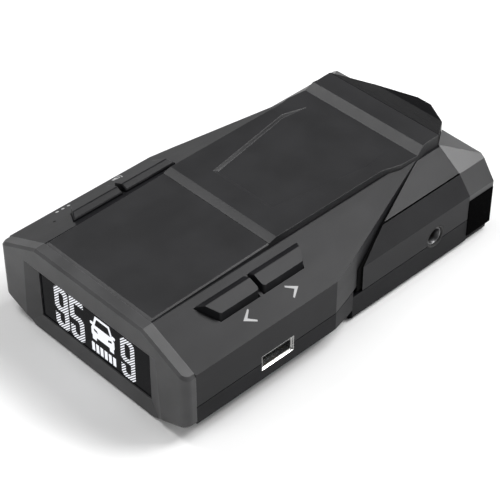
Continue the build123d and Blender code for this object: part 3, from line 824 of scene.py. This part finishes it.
@dataclass
class Digit:
    """A seven-segment style digit with cut corners, in millimetres.

    The shares are parts of the stroke for the corners, and of the height for the rest.
    """

    width: float
    height: float
    stroke: float
    corner_share: float = 0.62
    inner_share: float = 0.35
    tail_share: float = 0.31
    bowl_share: float = 0.4
    middle_share: float = 0.6

    @property
    def cut(self) -> float:
        """Length of the cut at each outer corner."""
        return self.corner_share * self.stroke

    @property
    def inner_cut(self) -> float:
        """Length of the cut at each inner corner."""
        return self.inner_share * self.stroke

    @property
    def tail(self) -> float:
        """Height of the short stroke at the lower left."""
        return self.tail_share * self.height

    def nine(self) -> list[list[Point]]:
        """Outline of a 9 and the hole of its bowl."""
        w, h, t, c = self.width, self.height, self.stroke, self.cut
        b = self.bowl_share * h
        s, i = self.tail, self.inner_cut
        outline = [(0, s), (0, c), (c, 0), (w - c, 0), (w, c), (w, h - c), (w - c, h), (c, h)]
        outline += [(0, h - c), (0, b + c), (c, b), (w - t, b), (w - t, t + i)]
        outline += [(w - t - i, t), (t + i, t), (t, t + i), (t, s)]
        low, high, right = b + t, h - t, w - t
        hole = [(t, low + i), (t + i, low), (right - i, low), (right, low + i)]
        hole += [(right, high - i), (right - i, high), (t + i, high), (t, high - i)]
        return [outline, hole]

    def five(self) -> list[list[Point]]:
        """Outline of a 5."""
        w, h, t, c = self.width, self.height, self.stroke, self.cut
        m = self.middle_share * h
        s, i = self.tail, self.inner_cut
        outline = [(0, s), (0, c), (c, 0), (w - c, 0), (w, c), (w, m - c), (w - c, m), (t, m)]
        outline += [(t, h - t), (w, h - t), (w, h), (0, h), (0, m - t), (w - t - i, m - t)]
        outline += [(w - t, m - t - i), (w - t, t + i), (w - t - i, t), (t + i, t)]
        outline += [(t, t + i), (t, s)]
        return [outline]


@dataclass
class DisplayPicture:
    """The lit picture on the front of the display window: speed, car, level bars, count."""

    lift: float = 0.015
    thickness: float = 0.03
    digits_foot: float = 4.9
    first_digit: float = -16.1
    second_digit: float = -9.95
    digit_width: float = 5.5
    digit_height: float = 14.0
    digit_stroke: float = 1.8
    count_place: float = 9.9
    count_width: float = 5.3
    count_height: float = 13.4
    count_stroke: float = 1.6
    car_middle: float = 3.0
    car_foot: float = 9.7
    bar_foot: float = 5.5
    bar_height: float = 2.9
    bar_width: float = 1.1
    bar_pitch: float = 1.65
    bars: int = 6
    pixel_pitch: float = 0.88

    def sheet(self) -> Sheet:
        """The front of the display window."""
        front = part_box("display_window")[0].y
        return Sheet(Vector((0, front, 0)), ACROSS, UPWARD, -REARWARD)

    def car(self) -> list[list[Point]]:
        """Front view of a car: body outline, windscreen and two headlamps."""
        half = [(2.5, 1.1), (2.6, 0.0), (4.1, 0.0), (4.1, 1.3), (4.45, 1.8), (4.45, 3.9)]
        half += [(3.95, 4.8), (4.8, 4.95), (4.8, 5.75), (3.9, 5.95), (3.65, 5.5), (2.75, 8.4)]
        windscreen = [(3.1, 5.1), (2.25, 7.6)]
        lamp = [(1.9, 2.7), (3.5, 3.1), (3.5, 3.9), (2.2, 3.6)]
        other_lamp = [(-x, y) for x, y in reversed(lamp)]
        loops = [mirrored(half), mirrored(windscreen), lamp, other_lamp]
        return [shifted(loop, self.car_middle, self.car_foot) for loop in loops]

    def level_bars(self) -> list[list[list[Point]]]:
        """Row of equal bars under the car."""
        first = self.car_middle - self.bar_pitch * (self.bars - 1) / 2 - self.bar_width / 2
        return [
            [
                rectangle(
                    first + i * self.bar_pitch,
                    self.bar_foot,
                    first + i * self.bar_pitch + self.bar_width,
                    self.bar_foot + self.bar_height,
                )
            ]
            for i in range(self.bars)
        ]

    def build(self) -> None:
        """Make the digits, the car and the bars."""
        dotted = LitPixels("lit_pixel_rows", self.pixel_pitch * MM).build()
        solid = LitPixels("lit_segments").build()
        speed = Digit(self.digit_width, self.digit_height, self.digit_stroke)
        count = Digit(self.count_width, self.count_height, self.count_stroke)
        drawings = {
            "display_tens": (speed.nine(), self.first_digit, dotted),
            "display_units": (speed.five(), self.second_digit, dotted),
            "display_count": (count.nine(), self.count_place, dotted),
        }
        sheet = self.sheet()
        top = self.lift + self.thickness
        for name, (loops, x, material) in drawings.items():
            shape = [shifted(loop, x, self.digits_foot) for loop in loops]
            dress(slab(name, [shape], sheet, self.lift, top), material)
        car = slab("display_car", [self.car()], sheet, self.lift, top)
        dress(car, solid)
        bars = slab("display_level_bars", self.level_bars(), sheet, self.lift, top)
        dress(bars, solid)


@dataclass
class ShoulderMarks:
    """Pad-printed marks on the sloped shoulders, with painted shade for the sound port's hole;
    places are behind the front and down the slope.
    """

    lift: float = 0.01
    thickness: float = 0.025
    crest_half: float = 20.6
    wall_top: float = 21.5
    chevron_stroke: float = 0.75
    chevron_reach: float = 3.1
    chevron_half: float = 2.05
    chevron_across: float = 0.55
    previous_place: Point = (12.0, 23.5)
    next_place: Point = (12.2, 42.4)
    dot_radius: float = 0.48
    dot_first: Point = (14.9, 18.2)
    dot_pitch: float = 1.95
    dots: int = 3
    round_steps: int = 23
    sound_place: Point = (15.1, 37.6)
    wave_rise: float = 0.9
    wave_radii: tuple[float, ...] = (1.25, 2.0)
    wave_half: float = 0.16
    wave_start: float = 50.0
    wave_end: float = 130.0
    wave_steps: int = 8
    port_place: Point = (9.9, 13.75)
    port_radius: float = 0.42

    def sheet(self, facing: Facing) -> Sheet:
        """The shoulder's surface: u down the slope, v towards the rear.

        Args:
            facing: Which shoulder.

        Returns:
            Its sheet.
        """
        low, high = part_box("front_bezel")
        half = high.x / MM
        drop = high.z / MM - self.wall_top
        run = half - self.crest_half
        long = math.hypot(run, drop)
        side = facing.value
        u = Vector((side * run / long, 0, -drop / long))
        up = Vector((side * drop / long, 0, run / long))
        origin = Vector((side * self.crest_half * MM, low.y, high.z))
        return Sheet(origin, u, REARWARD, up)

    def chevron(self, place: Point, way: int) -> list[Point]:
        """Outline of an arrow-head mark.

        Args:
            place: Its tip, down the slope and behind the front.
            way: 1 points to the rear and -1 to the front.

        Returns:
            The outline.
        """
        wide, reach = self.chevron_half, self.chevron_reach
        inner = self.chevron_stroke * math.hypot(wide, reach) / wide
        across = self.chevron_stroke * self.chevron_across
        heel = -reach - across / 2
        points = [(0, 0), (wide, -reach), (wide - across, heel)]
        points += [(0, -inner), (across - wide, heel), (-wide, -reach)]
        return [(place[0] + x, place[1] + way * y) for x, y in points]

    def sound_mark(self) -> list[list[list[Point]]]:
        """Loudspeaker and two sound waves."""
        x, y = self.sound_place
        body = [(-0.5, 0), (0.5, 0), (0.5, 0.7), (1.1, 1.5), (-1.1, 1.5), (-0.5, 0.7)]
        shapes = [[shifted(body, x, y)]]
        centre = (x, y + self.wave_rise)
        start, end, steps = self.wave_start, self.wave_end, self.wave_steps
        for radius in self.wave_radii:
            outside = arc(centre, radius + self.wave_half, start, end, steps)
            inside = arc(centre, radius - self.wave_half, end, start, steps)
            shapes.append([outside + inside])
        return shapes

    def dot(self, centre: Point, radius: float) -> list[Point]:
        """Outline of a round dot.

        Args:
            centre: Its centre.
            radius: Its radius.

        Returns:
            The outline.
        """
        last = 360.0 - 360.0 / (self.round_steps + 1)
        return arc(centre, radius, 0.0, last, self.round_steps)

    def build(self) -> None:
        """Print the marks on both shoulders and lay the painted shade of the sound port."""
        ink = PrintedInk("pale_ink").build()
        # Near-black matte disc for the sound port: painted shade of the hole.
        black = Ceramic("sound_port_painted_shade", (0.002, 0.002, 0.002), 0.9).build()
        right, left = self.sheet(Facing.RIGHT), self.sheet(Facing.LEFT)
        top = self.lift + self.thickness
        marks = {
            "mark_previous": ([[self.chevron(self.previous_place, -1)]], right),
            "mark_next": ([[self.chevron(self.next_place, 1)]], right),
            "mark_sound": (self.sound_mark(), left),
        }
        x, y = self.dot_first
        for i in range(self.dots):
            dot = self.dot((x, y + i * self.dot_pitch), self.dot_radius)
            marks[f"mark_menu_dot_{i + 1}"] = ([[dot]], left)
        for name, (shapes, sheet) in marks.items():
            dress(slab(name, shapes, sheet, self.lift, top), ink)
        # The sound port is a flat near-black disc on the left shoulder: painted shade where the
        # hole is.
        port = self.dot(self.port_place, self.port_radius)
        piece = slab("sound_port", [[port]], left, self.lift, top)
        dress(piece, black)


@dataclass
class Sockets:
    """Metal parts of the data port and of the power socket, in millimetres."""

    sleeve_gap: float = 0.05
    sleeve_wall: float = 0.4
    sleeve_recess: float = 0.45
    sleeve_length: float = 5.6
    bore: float = 2.75
    lip_wall: float = 0.3
    lip_reach: float = 0.6
    lip_edge: float = 0.08
    contacts: int = 5
    contact_width: float = 0.7
    contact_lift: float = 0.02
    contact_thickness: float = 0.08
    contact_front: float = 0.4
    contact_back: float = 1.0
    drawn: Colour = (1.0, 6.0, 1.0)

    def build(self) -> None:
        """Dress the sockets and add the lip, the sleeve and the contact strips."""
        steel = Metal("socket_metal", (0.86, 0.86, 0.85), 0.16, self.drawn).build()
        gold = Metal("gold_plate", (0.83, 0.6, 0.24), 0.2).build()
        nickel = Metal("dark_nickel", (0.2, 0.2, 0.205), 0.32, self.drawn).build()
        paint(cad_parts["usb_socket"], steel)
        self.lip(steel)
        self.sleeve(nickel)
        self.strips(gold)

    def lip(self, steel: bpy.types.Material) -> None:
        """Flared bright lip round the mouth of the data port.

        Args:
            steel: Its finish.
        """
        low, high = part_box("usb_socket")
        reach, wall, edge = self.lip_reach * MM, self.lip_wall * MM, self.lip_edge * MM
        profile = [(0.0, wall), (0.0, 0.0), (reach, 0.0), (reach, edge)]
        mesh = bmesh.new()
        rings = []
        for out, inset in profile:
            left, right = low.y + inset, high.y - inset
            foot, top = low.z + inset, high.z - inset
            corners = [(left, foot), (right, foot), (right, top), (left, top)]
            rings.append([mesh.verts.new((high.x + out, y, z)) for y, z in corners])
        for ring, following in zip(rings, rings[1:] + rings[:1]):
            for i in range(len(ring)):
                j = (i + 1) % len(ring)
                mesh.faces.new((ring[i], ring[j], following[j], following[i]))
        bmesh.ops.recalc_face_normals(mesh, faces=mesh.faces)
        dress(as_object("data_port_lip", mesh), steel)

    def sleeve(self, nickel: bpy.types.Material) -> None:
        """Dark metal sleeve that lines the power socket.

        Args:
            nickel: Its finish.
        """
        low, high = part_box("power_jack")
        centre = Vector((high.x, (low.y + high.y) / 2, (low.z + high.z) / 2))
        outer = self.bore - self.sleeve_gap
        inner = outer - self.sleeve_wall
        near, far = -self.sleeve_recess, -self.sleeve_recess - self.sleeve_length
        lip = self.sleeve_wall / 3
        profile = [(inner, far), (outer, far), (outer, near - lip), (outer - lip, near)]
        profile += [(inner + lip, near), (inner, near - lip)]
        piece = turned("power_socket_sleeve", profile, centre, ACROSS)
        dress(piece, nickel)

    def strips(self, gold: bpy.types.Material) -> None:
        """Contact strips on top of the data port's tongue.

        Args:
            gold: Their finish.
        """
        low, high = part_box("usb_tongue")
        sheet = Sheet(Vector((0, 0, high.z)), ACROSS, REARWARD, UPWARD)
        near, far = high.x / MM - self.contact_front, low.x / MM + self.contact_back
        pitch = (high.y - low.y) / MM / self.contacts
        first = low.y / MM + pitch / 2
        for i in range(self.contacts):
            y = first + i * pitch
            half = self.contact_width / 2
            shape = rectangle(far, y - half, near, y + half)
            top = self.contact_lift + self.contact_thickness
            piece = slab(f"data_contact_{i + 1}", [[shape]], sheet, self.contact_lift, top)
            dress(piece, gold)


# ---------------------------------------------------------------- studio


@dataclass(frozen=True)
class Softbox:
    """A square area lamp, placed in metres from the object's middle."""

    name: str
    place: Colour
    size: float
    power: float

    def build(self, middle: Vector) -> None:
        """Hang the lamp and aim it at the object.

        Args:
            middle: The point it is aimed at.
        """
        data = bpy.data.lights.new(self.name, "AREA")
        data.shape = "SQUARE"
        data.size = self.size
        data.energy = self.power
        lamp = bpy.data.objects.new(self.name, data)
        bpy.context.scene.collection.objects.link(lamp)
        lamp.location = middle + Vector(self.place)
        lamp.rotation_euler = (-Vector(self.place)).to_track_quat("-Z", "Y").to_euler()
        log.info("lamp %s", self.name)


@dataclass
class Studio:
    """Pale floor, soft lamps and the camera; angles in degrees, lengths in metres.

    The lens and the sensor are in millimetres.
    """

    azimuth: float = 46.07
    elevation: float = 40.53
    distance: float = 0.4571
    aim: Colour = (0.0, -0.0108, 0.015)
    slide: Point = (0.0030, -0.00374)
    focal_length: float = 123.2
    sensor: float = 36.0
    near_clip: float = 0.01
    floor_half: float = 6.0
    floor_depth: float = 0.02
    floor_patch: float = 0.03
    floor_tones: tuple[Colour, Colour] = ((0.86, 0.86, 0.86), (0.88, 0.88, 0.88))
    world: float = 0.16
    softboxes: tuple[Softbox, ...] = (
        Softbox("key_rear", (0.12, 0.5, 0.85), 0.4, 4.4),
        Softbox("rear_high", (0.42, 0.53, 0.73), 0.25, 5.0),
        Softbox("rear_right", (0.72, 0.52, 0.42), 0.3, 1.6),
        Softbox("rear_low", (0.05, 1.0, 0.22), 0.3, 2.0),
        Softbox("front_left", (-0.55, -0.12, 0.82), 0.35, 3.4),
        Softbox("front_high", (-0.1, -0.3, 0.95), 0.4, 1.2),
        Softbox("front_fill", (-0.2, -0.9, 0.35), 0.5, 3.0),
    )

    def camera(self) -> None:
        """Stand the camera."""
        turn, lift = math.radians(self.azimuth), math.radians(self.elevation)
        back = Vector(
            (math.sin(turn) * math.cos(lift), -math.cos(turn) * math.cos(lift), math.sin(lift))
        )
        right = Vector((math.cos(turn), math.sin(turn), 0))
        up = back.cross(right)
        aside, aloft = self.slide
        data = bpy.data.cameras.new("camera")
        data.lens = self.focal_length
        data.sensor_width = self.sensor
        data.clip_start = self.near_clip
        camera = bpy.data.objects.new("camera", data)
        bpy.context.scene.collection.objects.link(camera)
        stand = Vector(self.aim) + self.distance * back + aside * right + aloft * up
        axes = Matrix((right, up, back)).transposed().to_4x4()
        camera.matrix_world = Matrix.Translation(stand) @ axes
        bpy.context.scene.camera = camera

    def floor(self) -> None:
        """Lay the pale floor."""
        sheet = Sheet(Vector(), ACROSS, REARWARD, UPWARD)
        half, depth = self.floor_half / MM, self.floor_depth / MM
        floor = slab("floor", [[rectangle(-half, -half, half, half)]], sheet, -depth, 0.0)
        recipe = Recipe("pale_floor")
        speck = recipe.noise(self.floor_patch, 3.0)
        values = {
            "Base Color": recipe.mix(speck.ramp(0.2, 0.8), *self.floor_tones),
            "Roughness": 0.9 + 0.05 * speck,
            "Specular IOR Level": 0.1,
        }
        floor.data.materials.append(recipe.finish(values))

    def sky(self) -> None:
        """Light the studio evenly from all round."""
        world = bpy.data.worlds.new("studio")
        world.use_nodes = True
        background = world.node_tree.nodes["Background"]
        background.inputs["Color"].default_value = (1.0, 1.0, 1.0, 1.0)
        background.inputs["Strength"].default_value = self.world
        bpy.context.scene.world = world

    def build(self, middle: Vector) -> None:
        """Make the whole studio.

        Args:
            middle: Middle of the object.
        """
        self.camera()
        self.floor()
        self.sky()
        bpy.context.scene.view_settings.view_transform = "Standard"
        for softbox in self.softboxes:
            softbox.build(middle)


def main() -> None:
    """Build the studio and dress the object."""
    logging.basicConfig(level=logging.INFO, format="%(name)s: %(message)s")
    low, high = cad_box
    Studio().build((low + high) / 2)
    enclosure = Enclosure()
    enclosure.build()
    Buttons().build(enclosure)
    Inside().build(enclosure)
    DisplayPicture().build()
    ShoulderMarks().build()
    Sockets().build()


if __name__ == "__main__":
    main()
